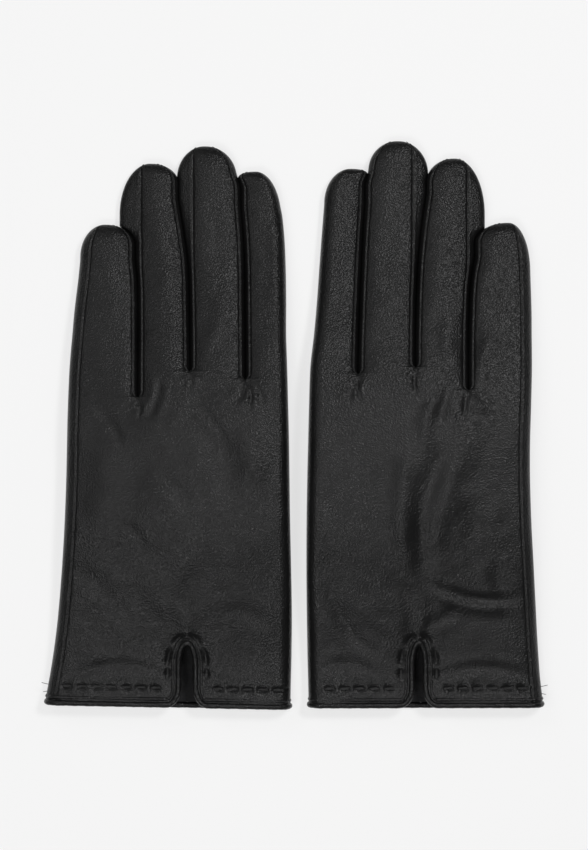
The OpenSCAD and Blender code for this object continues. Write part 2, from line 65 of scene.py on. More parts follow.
# Sizes are in mm, in each glove's own frame: x towards the thumb, v up from the hem, z up.
# A pair in brackets is where along v or x something starts and ends, unless its comment says more.
# Line 0 is the outer side of the glove, 1 to 3 are the gaps between the fingers, 4 is the thumb side.
OUTER_LINE, VENT_LINE, INDEX_LINE, THUMB_LINE = 0, 2, 3, 4
GAP_LINES = (1, 2, 3)

# ---- outline ----
MIDDLE_SHIFT = 1.25  # the hand's box is this far off the line that x is measured from
HAND_CUTS = (3, 12, 24, 40, 60, 80, 100, 115, 130, 146)  # heights where the hand's width is read
FIRST_FINGER_CUT = 160
FINGER_CUTS = 5
SIDE_BULGE = 0.6  # the folded sides swell this far out
CRACK = -0.06  # half the gap between two fingers
SIDE_SEAM = 4.7  # from the outer edge to the side seam
FOLD = 5.2  # width of the rounded fold at the thumb side
BAND = 2.2  # how far a fourchette shows beside its seam
BAND_END = 9.0  # length over which it narrows at the fingertip
CROTCH_ROUND = 2.4
CROTCH_WALL = 0.9
LINE_STRAIGHT = 34.0  # below this height the line down from a finger gap is straight
LINE_BEND = (100.0, 0.6)  # at this height it has gone this share of the way to the gap
LINE_SPREAD = 0.95
HEM_HALF = 52.0
HEM_RISE = {"left": (2.3, 0.3), "right": (1.2, 1.0)}  # how far the outer and thumb corners ride up
HEM_RISE_FADE = (3, 48)

# ---- fingers ----
KNUCKLE_LINE = 146.5  # the fingers' pieces start here, and the knuckles bend just beyond
KNUCKLE_END = 159.5
KNUCKLE_HEIGHT = 10.6
TIP_PLAY = 0.22  # the skin reaches this far beyond the frame's fingertips
TIP_REACH = 15.0  # a finger thins over this last stretch
TIP_FULLNESS = 3.2
TIP_ROUNDNESS = 2.05
# How far the rounding of each fingertip runs down its outer and its thumb side.
TIP_RUNS = {
    "left": ((14, 9), (22, 8.5), (14, 14), (3.2, 21)),
    "right": ((20, 9), (24, 11), (14, 13), (2.4, 15)),
}
LONGEST_RUN = 24.0
# How far the ring and middle fingers widen beside the shorter fingers' tips.
SHOULDER = {"left": (1.6, 0.3), "right": (0.4, 0.3)}
SHOULDER_PLAY = 0.2
OWN_SIDE = 8.0  # the middle finger takes its own side over this length below the index tip
STRAIGHT_TO = 186.0  # up to here a gap's two seams run side by side
SEAM_MERGE = 2.0  # sharpness with which a seam turns off that line
MERGE_RISE = 0.34  # about how far such a blend of two equal lines lies beyond them

# ---- vent ----
VENT_HALVES = {"left": 3.65, "right": 2.95}
VENT_POINT = 10.0  # the vent's top is drawn out to a point this long
VENT_FLARE = 5.0  # the vent's corners turn outwards this far, below FLARE_FROM
FLARE_FROM = 9.0

# ---- heights ----
HAND_HEIGHT = 12.0
TIP_HEIGHT = 9.6
THINNING = (100, 215)
HEM_ROOM = 0.85
THUMB_ROOM = 9.4  # how far the folded thumb lifts the palm
OUTER_SINK = 0.5  # the share of that lift left at the outer side
# Where the hem's room ends, the lift grows and fades, and, along x, the outer side sinks.
PALM_LIFT = {"hem": (10, 13), "grow": (24, 66), "fade": (128, 192), "sink": (-46, -6)}
BACK_LIFT = {"hem": (0, 16), "grow": (8, 92), "fade": (112, 214), "sink": (-50, 10)}
GROOVE = 0.55  # depth of a seam
GROOVE_WIDTH = 0.42
RIDGE = 0.55  # how proud the fourchette's rolled edge stands in its seam
CROWN = 1.5  # how far the back falls from a finger's middle to its seams
CROWN_REACH = 3.6
CROWN_BELOW, PALM_CROWN_BELOW, CROWN_ABOVE = 16, 10, 9  # it grows from below a crotch to above it
SIDE_FALL, SIDE_FALL_REACH = 0.35, 3.0  # the same at the side seam
SIDE_GROOVE = 0.8  # the side seam's share of GROOVE
GATHER = 0.11  # depth of the small gathers round the foot of each finger gap
GATHER_AWAY, GATHER_WIDTH, GATHERS_ROUND = 4.2, 3.4, 9
GATHER_TURN, GATHER_CURL = 1.3, 0.5  # they turn from gap to gap, and curl outwards
VENT_DIP, VENT_DIP_AWAY, VENT_DIP_WIDTH = 0.25, 2, 2.4  # the leather sinks beside the vent
VENT_DIP_FADE = (60, 34)

# ---- cuff ----
BINDING = 1.25  # radius of the rolled binding
BINDING_SINK = 0.45
STRIP = 0.8  # radius of the flat strip above it
STRIP_AWAY, STRIP_SINK, STRIP_FLATNESS = 2.35, 0.30, 0.75
PALM_DROP = 1.15  # how far the palm's hem hangs out below the back's
PALM_DROP_FADE = (0, 12)  # from the corners
PICK_ROW = 8.4
PICK_PITCH = 6.3
VENT_PITCH = PICK_PITCH * 0.9
PICK_LENGTH = 3.9
PICK_RADIUS = 0.30
PICK_START = 9.5  # from the vent's edge to the first stitch of the row
PICK_AWAY = 4.6  # from the vent's edge to the stitches beside it
PICK_CORNER = (6, 9)  # from the vent's edge: the row along the hem starts
PICK_RISE = (11, 13)  # the two rows beside the vent start
PICK_SHOULDER = (-1, 2)  # about the shoulder of the vent: they end, and the fan over its top starts
PICK_FAN_FADE = (9, 13)
PICK_FAN = 7
PICK_FAN_REACH = 3

# A row of stitches pulls the leather into dimples with puffs between them.
DIMPLE_LENGTH = 0.55  # below 1 the dimples are longer than the puffs
DIMPLE_DEPTH, DIMPLE_WIDTH = 1.15, 0.85
TROUGH_DEPTH, TROUGH_WIDTH = 0.20, 2.0
PUFF_HEIGHT, PUFF_WIDTH = 0.42, 1.4
RIPPLE_HEIGHT = 0.10
RIPPLES = ((2.8, 1.9), (-2.4, 1.5))  # distance from the row, and width

# ---- stitches, lining and thumb ----
SEAM_SHIFT = 0.45
SEAM_STITCH = {"pitch": 1.9, "length": 1.15, "radius": 0.12, "proud": 0.0}
HEM_STITCH = {"pitch": 2.1, "length": 1.3, "radius": 0.13, "proud": 0.30}
STITCH_STEP = 0.35  # spacing of the points that stitches are set out on
LEATHER_LINING = 1.3  # from the leather's face to the lining's
RIB_PITCH, RIB_HEIGHT = 1.4, 0.12
THUMB_FOLD = (72, 84)
THUMB_HEIGHT = 4
THUMB_TIP_PLAY = 0.2
THUMB_TIP_REACH = 14.0
THUMB_ROOT_REACH = 22
THUMB_CREASES = (84, 76)

# ---- fineness of the meshes ----
ROW_STEP = 0.8
TIP_ROWS = 46
BACK_COLUMNS, PALM_COLUMNS, SIDE_COLUMNS = 31, 15, 17
EVEN_SHARE = 0.42  # the rest of the columns' spacing crowds towards the seams

# Creases and soft folds of each back: (x, v) to (x, v), width, depth; below 0 it is a ridge.
FOLDS = {
    "left": (
        ((32.7, 139.5), (33.4, 128.0), 0.9, 0.40),
        ((33.2, 139.5), (39.5, 129.0), 1.3, 0.30),
        ((32.2, 139.5), (26.5, 130.0), 1.3, 0.28),
        ((8.2, 142.0), (8.4, 136.0), 0.8, 0.28),
        ((-4.4, 140.0), (-9.9, 123.0), 1.5, 0.40),
        ((-13.8, 131.0), (-13.0, 124.0), 0.9, 0.28),
        ((-24.0, 76.0), (-17.0, 70.0), 1.1, 0.22),
        ((-20.0, 80.0), (-10.0, 66.0), 2.2, 0.28),
        ((30.0, 120.0), (36.0, 96.0), 6.0, -0.70),
        ((18.0, 118.0), (24.0, 84.0), 5.0, 0.45),
        ((-30.0, 118.0), (-34.0, 70.0), 6.0, -0.50),
        ((6.5, 42.0), (12.0, 62.0), 3.5, 0.35),
        ((2.0, 40.0), (-10.0, 60.0), 3.5, -0.35),
        ((22.0, 44.0), (44.0, 34.0), 3.0, 0.30),
        ((-40.0, 14.6), (-4.0, 15.6), 2.2, 0.42),
        ((15.0, 218.0), (19.0, 186.0), 3.0, 0.40),
        ((-25.0, 194.0), (-21.0, 164.0), 2.6, 0.36),
        ((-7.0, 208.0), (-3.0, 172.0), 3.2, -0.36),
        ((38.0, 206.0), (37.0, 168.0), 3.0, 0.34),
        ((21.0, 180.0), (14.0, 150.0), 3.0, -0.30),
        ((-44.0, 62.0), (-20.0, 40.0), 3.4, 0.30),
        ((12.0, 128.0), (24.0, 112.0), 1.6, 0.26),
        ((-30.0, 126.0), (-20.0, 112.0), 2.0, 0.30),
        ((-6.0, 100.0), (8.0, 86.0), 2.8, 0.30),
    ),
    "right": (
        ((3.1, 143.0), (2.8, 134.0), 0.9, 0.42),
        ((27.2, 140.0), (26.0, 131.0), 0.9, 0.32),
        ((27.2, 140.0), (31.5, 130.0), 1.4, 0.28),
        ((-19.0, 134.0), (-18.0, 124.0), 1.0, 0.32),
        ((-19.5, 134.0), (-28.0, 126.0), 2.4, -0.45),
        ((-12.0, 138.0), (-8.0, 118.0), 2.2, 0.40),
        ((-4.0, 132.0), (-1.0, 112.0), 2.6, -0.45),
        ((5.8, 110.0), (6.4, 64.0), 3.6, -0.75),
        ((-7.4, 108.0), (-1.0, 54.0), 3.6, 0.75),
        ((-16.0, 112.0), (-14.0, 78.0), 4.5, -0.45),
        ((-2.7, 54.0), (-40.2, 47.5), 1.8, 0.45),
        ((-4.0, 50.0), (-38.0, 43.0), 2.6, -0.35),
        ((39.8, 49.8), (16.9, 21.3), 2.3, 0.45),
        ((34.0, 54.0), (12.0, 32.0), 2.8, -0.35),
        ((2.0, 38.0), (14.0, 56.0), 3.2, 0.35),
        ((-2.0, 36.0), (-14.0, 44.0), 2.4, 0.30),
        ((-44.0, 14.2), (-8.0, 15.0), 2.2, 0.42),
        ((-36.0, 192.0), (-31.0, 160.0), 3.0, 0.40),
        ((-11.0, 206.0), (-8.0, 168.0), 3.4, -0.42),
        ((10.0, 212.0), (13.0, 172.0), 3.0, 0.34),
        ((34.0, 204.0), (34.0, 166.0), 3.0, 0.36),
        ((-13.0, 170.0), (-12.0, 146.0), 3.0, -0.45),
        ((-30.0, 160.0), (-24.0, 140.0), 2.6, -0.40),
        ((20.0, 16.0), (44.0, 18.0), 2.4, 0.34),
        ((-30.0, 66.0), (-40.0, 40.0), 3.0, 0.34),
    ),
}
FOLD_GAIN = 1.3
FOLD_SHOULDER = 0.45  # the leather swells this share of a fold's depth beside it
FOLD_BEND = 0.08  # a fold bows sideways by this share of its length
FOLD_START, FOLD_END = (-0.15, 0.25), (0.6, 1.15)  # shares of a fold's length
FINGER_FOLDS = 0.6  # the folds lose this share on the fingers
FINGER_FOLDS_FADE = (150, 175)
# Long soft swells of the whole back: (wave length, direction in degrees, phase, height).
SWELLS = (
    (46, 20, 0.4, 0.16),
    (31, 75, 1.9, 0.11),
    (22, -40, 3.1, 0.08),
    (15, 10, 5.0, 0.045),
    (11, 60, 2.2, 0.03),
)
SWELL_SWAY, SWELL_SWAY_LENGTH = 1.3, 1.7


def ramp(a, b, v):
    """0 before a, 1 beyond b and a smooth step between them."""
    t = np.clip((v - a) / (b - a), 0, 1)
    return t * t * (3 - 2 * t)


def bump(d, width):
    """A round hill of height 1 at d = 0."""
    return np.exp(-((d / width) ** 2))


def smooth_line(points, v):
    """Catmull-Rom curve through (v, x) points, level beyond its ends."""
    at, x = np.array(points, float).T
    slope = np.empty(len(at))
    slope[1:-1] = (x[2:] - x[:-2]) / (at[2:] - at[:-2])
    slope[0] = (x[1] - x[0]) / (at[1] - at[0])
    slope[-1] = (x[-1] - x[-2]) / (at[-1] - at[-2])
    v = np.clip(np.asarray(v, float), at[0], at[-1])
    i = np.clip(np.searchsorted(at, v) - 1, 0, len(at) - 2)
    step = at[i + 1] - at[i]
    s = (v - at[i]) / step
    return (
        x[i] * (1 + 2 * s) * (1 - s) ** 2
        + slope[i] * step * s * (1 - s) ** 2
        + x[i + 1] * s * s * (3 - 2 * s)
        + slope[i + 1] * step * s * s * (s - 1)
    )


class Glove:
    """One glove's outline, read from the frame, and how its back and palm are lifted."""

    def __init__(self, side):
        self.side = side
        self.sign = 1 if side == "left" else -1
        self.body = f"{side}_glove"
        self.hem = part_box(f"{side}_hem_binding")[0].y / MM
        low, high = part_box(f"{side}_hand_leather")
        self.centre = (low.x + high.x) / 2 / MM + self.sign * MIDDLE_SHIFT
        self.tips = [self.tip(f"{side}_{word}_leather") for word in FINGERS]
        self.edges = [self.finger_edges(finger) for finger in range(len(FINGERS))]
        self.crotches = []
        self.vent_x, self.vent_top = self.find_vent()
        self.vent_half = VENT_HALVES[side]
        hand = [(v, *self.cut(f"{side}_hand_leather", v)) for v in HAND_CUTS]
        self.lines = [[(v, a) for v, a, b in hand + self.edges[LITTLE]]]
        for gap, (x, v) in enumerate(self.find_crotches()):
            self.crotches.append(v)
            self.lines.append(self.gap_line(gap, x, v))
        self.lines.append([(v, b) for v, a, b in hand + self.edges[INDEX]])

    def local(self, node):
        """A CAD node's points in this glove's own frame."""
        co = np.array([p.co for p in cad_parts[node].data.vertices], float) / MM
        co[:, 0] = (co[:, 0] - self.centre) * self.sign
        co[:, 1] -= self.hem
        return co

    def world(self, x, v, z):
        """Points in metres in the shared frame, with the hem's corners tilted up."""
        x, v, z = np.broadcast_arrays(x, v, z)
        outer, inner = HEM_RISE[self.side]
        rise = outer + (inner - outer) * (x + HEM_HALF) / (2 * HEM_HALF)
        v = v + rise * (1 - ramp(*HEM_RISE_FADE, v))
        return np.stack([self.centre + self.sign * x, v + self.hem, z], -1) * MM

    # -- reading the frame --
    def cut(self, node, v):
        """(lowest x, highest x) where a plane across the glove at v cuts a node."""
        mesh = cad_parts[node].data
        co = self.local(node)
        ends = np.array([e.vertices[:] for e in mesh.edges])
        a, b = co[ends[:, 0]], co[ends[:, 1]]
        hit = (a[:, 1] - v) * (b[:, 1] - v) <= 0
        a, b = a[hit], b[hit]
        t = (v - a[:, 1]) / np.where(b[:, 1] == a[:, 1], 1, b[:, 1] - a[:, 1])
        x = a[:, 0] + np.clip(t, 0, 1) * (b[:, 0] - a[:, 0])
        return x.min(), x.max()

    def tip(self, node):
        """v and x of a fingertip."""
        co = self.local(node)
        top = co[co[:, 1] > co[:, 1].max() - 0.01]
        return co[:, 1].max() + TIP_PLAY, top[:, 0].mean()

    def finger_edges(self, finger):
        """(v, lowest x, highest x) of a finger with its fourchettes, from the knuckles up."""
        nodes = [f"{self.side}_{FINGERS[finger]}_{piece}" for piece in ("leather", "fourchettes")]
        edges = []
        for v in np.linspace(FIRST_FINGER_CUT, self.tips[finger][0] - TIP_REACH, FINGER_CUTS):
            cuts = [self.cut(node, v) for node in nodes]
            edges.append((v, min(c[0] for c in cuts), max(c[1] for c in cuts)))
        return edges

    def find_crotches(self):
        """(x, v) of the bottom of each gap between the fingers, from the frame's crotch pieces."""
        co = self.local(f"{self.side}_crotch_fourchettes")
        order = np.argsort(co[:, 0])
        between_gaps = 5
        ends = np.where(np.diff(co[order, 0]) > between_gaps)[0] + 1
        return [
            ((piece[:, 0].min() + piece[:, 0].max()) / 2, piece[:, 1].min() + CROTCH_WALL)
            for piece in np.split(co[order], ends)
        ]

    def find_vent(self):
        """x of the vent's middle and v of its top, inside the binding."""
        co = self.local(f"{self.side}_hem_binding")
        top = co[:, 1].max()
        return co[co[:, 1] > top - 1][:, 0].mean(), top - 2 * BINDING

    def gap_line(self, gap, crotch_x, crotch_v):
        """The (v, x) points midway between two fingers, and from their crotch down to the hem."""
        sides = (
            [(v, high) for v, low, high in self.edges[gap]],
            [(v, low) for v, low, high in self.edges[gap + 1]],
        )
        shorter, longer = sorted(sides, key=lambda points: points[-1][0])
        other_v, other_x = zip(*longer)
        above = [(v, (x + float(np.interp(v, other_v, other_x))) / 2) for v, x in shorter]
        foot = self.vent_x if gap + 1 == VENT_LINE else crotch_x * LINE_SPREAD
        bend_v, share = LINE_BEND
        bend_x = foot * (1 - share) + crotch_x * share
        return [(0, foot), (LINE_STRAIGHT, foot), (bend_v, bend_x), (crotch_v, crotch_x)] + above

    # -- plan --
    def dome(self, finger, high, v):
        """1 along a finger's side, falling to 0 at its tip."""
        reach = TIP_RUNS[self.side][finger][1 if high else 0]
        s = np.clip((v - (self.tips[finger][0] - reach)) / reach, 0, 1)
        return (1 - s**TIP_ROUNDNESS) ** (1 / TIP_ROUNDNESS)

    def tip_height(self, finger, v):
        """The share of its full thickness that a finger has, falling to 0 at its tip."""
        s = np.clip((v - (self.tips[finger][0] - TIP_REACH)) / TIP_REACH, 0, 1)
        return (1 - s**TIP_FULLNESS) ** (1 / TIP_FULLNESS)

    def edge(self, finger, high, v):
        """x of a finger's edge in plan: its neighbour's side, or the outside of the glove."""
        line = finger + (1 if high else 0)
        x = smooth_line(self.lines[line], v)
        if line in GAP_LINES:
            x = x + (-CRACK if high else CRACK)
        else:
            x = x + (SIDE_BULGE if high else -SIDE_BULGE)
        if line == INDEX_LINE and high:
            own = smooth_line([(a, c) for a, b, c in self.edges[finger]], v)
            x = x + (own - x) * ramp(self.tips[INDEX][0] - OWN_SIDE, self.tips[INDEX][0], v)
        if line == INDEX_LINE and not high:
            x = self.edge(MIDDLE, True, v) + 2 * CRACK
        if self.overlooks(finger, high):
            shoulder = self.edges[finger][-1][1] - SHOULDER[self.side][finger - RING]
            neighbour = self.edge(finger - 1, True, v) + 2 * CRACK
            beside = v < self.tips[finger - 1][0] - SHOULDER_PLAY
            x = np.where(beside, np.maximum(neighbour, shoulder), shoulder)
        tip_x = self.tips[finger][1]
        return tip_x + (x - tip_x) * self.dome(finger, high, v)

    def overlooks(self, finger, high):
        """Whether a finger's side stands wide above the tip of the shorter finger beside it."""
        return finger in (RING, MIDDLE) and not high

    def opening(self, line, v):
        """How far a finger gap has opened, from 0 to 1, and half the width of the vent in mm."""
        above = np.clip((v - self.crotches[line - 1]) / CROTCH_ROUND, 0, 1)
        open_above = np.sqrt(1 - (1 - above) ** 2)
        if line != VENT_LINE:
            return open_above, np.zeros_like(open_above)
        down = np.clip((self.vent_top - v) / VENT_POINT, 0, 1)
        vent = self.vent_half * np.sqrt(1 - (1 - down) ** 2)
        flare = np.clip((FLARE_FROM - v) / (FLARE_FROM - BINDING), 0, 1)
        vent = vent + VENT_FLARE * (1 - np.sqrt(np.maximum(1 - flare**2, 0)))
        return open_above, vent

    def band(self, finger, v):
        """How much of a fourchette shows between the seam and the edge."""
        end = np.clip((v - (self.tips[finger][0] - BAND_END)) / BAND_END, 0, 1)
        return BAND * np.sqrt(1 - end**2)

    def seam(self, finger, high, v, vent=True):
        """x of the seam down one side of a finger, and on down its column of the hand."""
        line = finger + (1 if high else 0)
        edge = self.edge(finger, high, v)
        inward = -1 if high else 1
        if line == OUTER_LINE:
            return edge + SIDE_SEAM * self.dome(finger, high, v)
        if line == THUMB_LINE:
            return edge - FOLD * self.dome(finger, high, v)
        middle = smooth_line(self.lines[line], v)
        open_above, vent_half = self.opening(line, v)
        cut = edge + inward * self.band(finger, v)
        if self.overlooks(finger, high):
            straight = smooth_line(self.lines[line], np.minimum(v, STRAIGHT_TO)) + CRACK + BAND
            merged = np.logaddexp(cut * SEAM_MERGE, straight * SEAM_MERGE) / SEAM_MERGE
            cut = np.where(v > STRAIGHT_TO, merged - MERGE_RISE, cut)
        x = middle + (cut - middle) * open_above
        return x + (inward * vent_half if vent else 0)

    # -- heights --
    def over_thumb(self, x, v, lift):
        """How far the palm or the back stands up, over the folded thumb."""
        outer = OUTER_SINK + (1 - OUTER_SINK) * ramp(*lift["sink"], x)
        risen = THUMB_ROOM * ramp(*lift["grow"], v) * (1 - ramp(*lift["fade"], v)) * outer
        return HEM_ROOM * (1 - ramp(*lift["hem"], v)) + risen

    def palm(self, x, v):
        """Height of the palm before its seams."""
        return self.over_thumb(x, v, PALM_LIFT)

    def back(self, x, v):
        """Height of the back before its seams and folds."""
        return self.over_thumb(x, v, BACK_LIFT) + self.thickness(v)

    def thickness(self, v):
        """From the palm to the back, with nothing in the glove but its lining."""
        return HAND_HEIGHT + (TIP_HEIGHT - HAND_HEIGHT) * ramp(*THINNING, v)

    def middle_z(self, x, v):
        """The level halfway between the palm and the back."""
        return (self.palm(x, v) + self.over_thumb(x, v, BACK_LIFT) + self.thickness(v)) / 2


def fold_depth(side, x, v):
    """How far the leather sinks at its creases, and swells between them."""
    total = np.zeros(np.broadcast(x, v).shape)
    for (x0, v0), (x1, v1), width, depth in FOLDS[side]:
        run = np.array([x1 - x0, v1 - v0])
        length = np.hypot(*run)
        along = ((x - x0) * run[0] + (v - v0) * run[1]) / length
        across = (-(x - x0) * run[1] + (v - v0) * run[0]) / length
        start = ramp(FOLD_START[0] * length, FOLD_START[1] * length, along)
        end = 1 - ramp(FOLD_END[0] * length, FOLD_END[1] * length, along)
        d = across - FOLD_BEND * length * np.sin(math.pi * along / length)
        shape = bump(d, width) - FOLD_SHOULDER * bump(np.abs(d) - 2 * width, width)
        total += FOLD_GAIN * (start * end) * depth * shape
    for i, (wave, degrees, phase, size) in enumerate(SWELLS):
        a = math.radians(degrees)
        u = x * math.cos(a) + v * math.sin(a)
        w = -x * math.sin(a) + v * math.cos(a)
        sway = SWELL_SWAY * np.sin(2 * math.pi * w / (wave * SWELL_SWAY_LENGTH) + i)
        total += size * np.sin(2 * math.pi * u / wave + phase + sway)
    return total


def picking(glove, x, v):
    """Dimples where the picked stitches pull the leather in, and the puffs between them."""
    half = glove.vent_half
    beside = x - glove.vent_x
    out = np.abs(beside)
    hem_part = ramp(half + PICK_CORNER[0], half + PICK_CORNER[1], out)
    phase = 2 * math.pi * (out - half - PICK_START) / PICK_PITCH
    total = hem_part * pucker(v - PICK_ROW, phase)
    shoulder = glove.vent_top - VENT_POINT
    over = ramp(shoulder + PICK_SHOULDER[0], shoulder + PICK_SHOULDER[1], v)
    up_part = (1 - hem_part) * ramp(*PICK_RISE, v) * (1 - over)
    phase = 2 * math.pi * (v - PICK_ROW - PICK_PITCH) / VENT_PITCH
    total += up_part * pucker(out - half - PICK_AWAY, phase)
    squeeze = (half + PICK_AWAY) / (VENT_POINT + PICK_FAN_REACH)
    up = np.maximum(v - shoulder, 0) * squeeze
    ring = np.hypot(beside, up)
    over = over * (1 - ramp(half + PICK_FAN_FADE[0], half + PICK_FAN_FADE[1], ring))
    phase = PICK_FAN * np.arctan2(up, beside) - math.pi / 2
    total += over * pucker(ring - half - PICK_AWAY, phase)
    return total


def pucker(d, phase):
    """Depth at a distance d from a row of stitches; each one is at a phase of a full turn."""
    pulled = (0.5 + 0.5 * np.cos(phase)) ** DIMPLE_LENGTH
    dip = DIMPLE_DEPTH * pulled * bump(d, DIMPLE_WIDTH) + TROUGH_DEPTH * bump(d, TROUGH_WIDTH)
    puff = PUFF_HEIGHT * (1 - pulled) * bump(d, PUFF_WIDTH)
    ripples = sum(bump(d - away, width) for away, width in RIPPLES)
    return dip - puff + RIPPLE_HEIGHT * np.cos(phase) * ripples


def crotch_gathers(glove, line, x, v):
    """Small gathers that fan out below the foot of a finger gap."""
    crotch = glove.crotches[line - 1]
    foot = smooth_line(glove.lines[line], np.array([crotch]))[0]
    away = np.hypot(x - foot, v - crotch)
    turn = np.arctan2(v - crotch, x - foot)
    below = np.clip((crotch - v) / np.maximum(away, 0.1), 0, 1) ** 2
    waves = np.cos(GATHERS_ROUND * turn + GATHER_TURN * line + away * GATHER_CURL)
    return GATHER * below * bump(away - GATHER_AWAY, GATHER_WIDTH) * waves


def back_z(glove, finger, x, v):
    """Height of the back at x, v on one finger's column of leather."""
    mid = glove.middle_z(x, v)
    kept = 1 - FINGER_FOLDS * ramp(*FINGER_FOLDS_FADE, v)
    drop = fold_depth(glove.side, x, v) * kept + picking(glove, x, v)
    for high in (False, True):
        line = finger + (1 if high else 0)
        if line == THUMB_LINE:
            continue
        d = np.abs(x - glove.seam(finger, high, v, vent=False))
        if line == OUTER_LINE:
            fall = SIDE_FALL * np.exp(-d / SIDE_FALL_REACH)
            drop = drop + fall + GROOVE * SIDE_GROOVE * bump(d, GROOVE_WIDTH)
            continue
        crotch = glove.crotches[line - 1]
        reach = np.hypot(d, np.maximum(crotch - v, 0))
        grown = ramp(crotch - CROWN_BELOW, crotch + CROWN_ABOVE, v)
        crown = CROWN * grown * np.exp(-reach / CROWN_REACH)
        drop = drop + crown + GROOVE * bump(reach, GROOVE_WIDTH)
        drop = drop + crotch_gathers(glove, line, x, v)
        near_vent = ramp(*VENT_DIP_FADE, v) if line == VENT_LINE else 0
        dip = bump(d - glove.vent_half - VENT_DIP_AWAY, VENT_DIP_WIDTH)
        drop = drop + VENT_DIP * near_vent * dip
    top = glove.back(x, v) - drop
    return mid + (top - mid) * glove.tip_height(finger, v)


def palm_z(glove, finger, x, v):
    """Height of the palm at x, v on one finger's column of leather."""
    mid = glove.middle_z(x, v)
    rise = 0
    for high in (False, True):
        line = finger + (1 if high else 0)
        if line not in GAP_LINES:
            continue
        d = np.abs(x - glove.seam(finger, high, v, vent=False))
        crotch = glove.crotches[line - 1]
        reach = np.hypot(d, np.maximum(crotch - v, 0))
        grown = ramp(crotch - PALM_CROWN_BELOW, crotch + CROWN_ABOVE, v)
        rise = rise + CROWN * grown * np.exp(-reach / CROWN_REACH)
        rise = rise + GROOVE * bump(reach, GROOVE_WIDTH)
    return mid + (glove.palm(x, v) + rise - mid) * glove.tip_height(finger, v)


# ---- mesh building ----


class Skin:
    """Grids of points welded into one surface, then cut into pieces that keep its normals."""

    def __init__(self, glove):
        self.glove = glove
        self.points = []
        self.faces = []
        self.names = []

    def grid(self, name, x, v, z, turned=False):
        """Adds a grid of quads to the piece called name; turned faces the other way."""
        x, v, z = np.broadcast_arrays(x, v, z)
        start = sum(len(p) for p in self.points)
        rows, cols = x.shape
        self.points.append(np.stack([x, v, z], -1).reshape(-1, 3))
        i = start + np.arange(rows * cols).reshape(rows, cols)
        quads = np.stack([i[:-1, :-1], i[:-1, 1:], i[1:, 1:], i[1:, :-1]], -1).reshape(-1, 4)
        if turned != (self.glove.sign < 0):
            quads = quads[:, ::-1]
        self.faces.append(quads)
        self.names += [name] * len(quads)

    def pieces(self):
        """{name: object}, one for each name given to a grid."""
        weld_distance = 0.004
        points = np.concatenate(self.points)
        faces = np.concatenate(self.faces)
        cells = np.round(points / weld_distance).astype(np.int64)
        _, first, weld = np.unique(cells, axis=0, return_index=True, return_inverse=True)
        faces = weld.reshape(-1)[faces]
        world = self.glove.world(*points[first].T)
        normals = np.zeros_like(world)
        a = world[faces[:, 2]] - world[faces[:, 0]]
        b = world[faces[:, 3]] - world[faces[:, 1]]
        face_normals = np.cross(a, b)
        for k in range(4):
            np.add.at(normals, faces[:, k], face_normals)
        normals /= np.maximum(np.linalg.norm(normals, axis=1, keepdims=True), 1e-12)
        names = np.array(self.names)
        return {
            name: surface(name, world, faces[names == name], normals)
            for name in dict.fromkeys(self.names)
        }


def surface(name, points, faces, normals=None):
    """A mesh object from quads, leaving out the collapsed ones."""
    used, index = np.unique(faces, return_inverse=True)
    clean = []
    for face in index.reshape(faces.shape).tolist():
        corners = [p for k, p in enumerate(face) if p != face[k - 1]]
        if len(set(corners)) == len(corners) and len(corners) > 2:
            clean.append(corners)
    mesh = bpy.data.meshes.new(name)
    mesh.from_pydata([tuple(p) for p in points[used]], [], clean)
    mesh.shade_smooth()
    if normals is not None:
        mesh.normals_split_custom_set_from_vertices([tuple(n) for n in normals[used]])
    piece = bpy.data.objects.new(name, mesh)
    bpy.context.scene.collection.objects.link(piece)
    return piece


def column_shares(count):
    """Shares from 0 to 1 across a strip of leather, closer together near its two seams."""
    s = np.linspace(0, 1, count)
    return EVEN_SHARE * s + (1 - EVEN_SHARE) * (0.5 - 0.5 * np.cos(math.pi * s))


def hand_rows(glove):
    """Heights of the hand's rows, closer together where a gap or the vent rounds off."""
    rows = list(np.arange(BINDING, KNUCKLE_LINE, ROW_STEP)) + [KNUCKLE_LINE]
    for crotch in glove.crotches:
        rows += [crotch + d for d in (0, 0.08, 0.3, 0.7, 1.2, 1.8)]
    rows += [glove.vent_top - d for d in (0, 0.1, 0.4, 0.9, 1.6)]
    rows = np.unique(np.round(rows, 3))
    return rows[rows <= KNUCKLE_LINE]


def finger_rows(glove, finger):
    """Heights of a finger's rows, closer together towards its tip."""
    tip = glove.tips[finger][0]
    straight = np.arange(KNUCKLE_LINE, tip - LONGEST_RUN, ROW_STEP)
    turn = np.radians(np.linspace(0, 90, TIP_ROWS))
    return np.concatenate([straight, tip - LONGEST_RUN + LONGEST_RUN * np.sin(turn)])


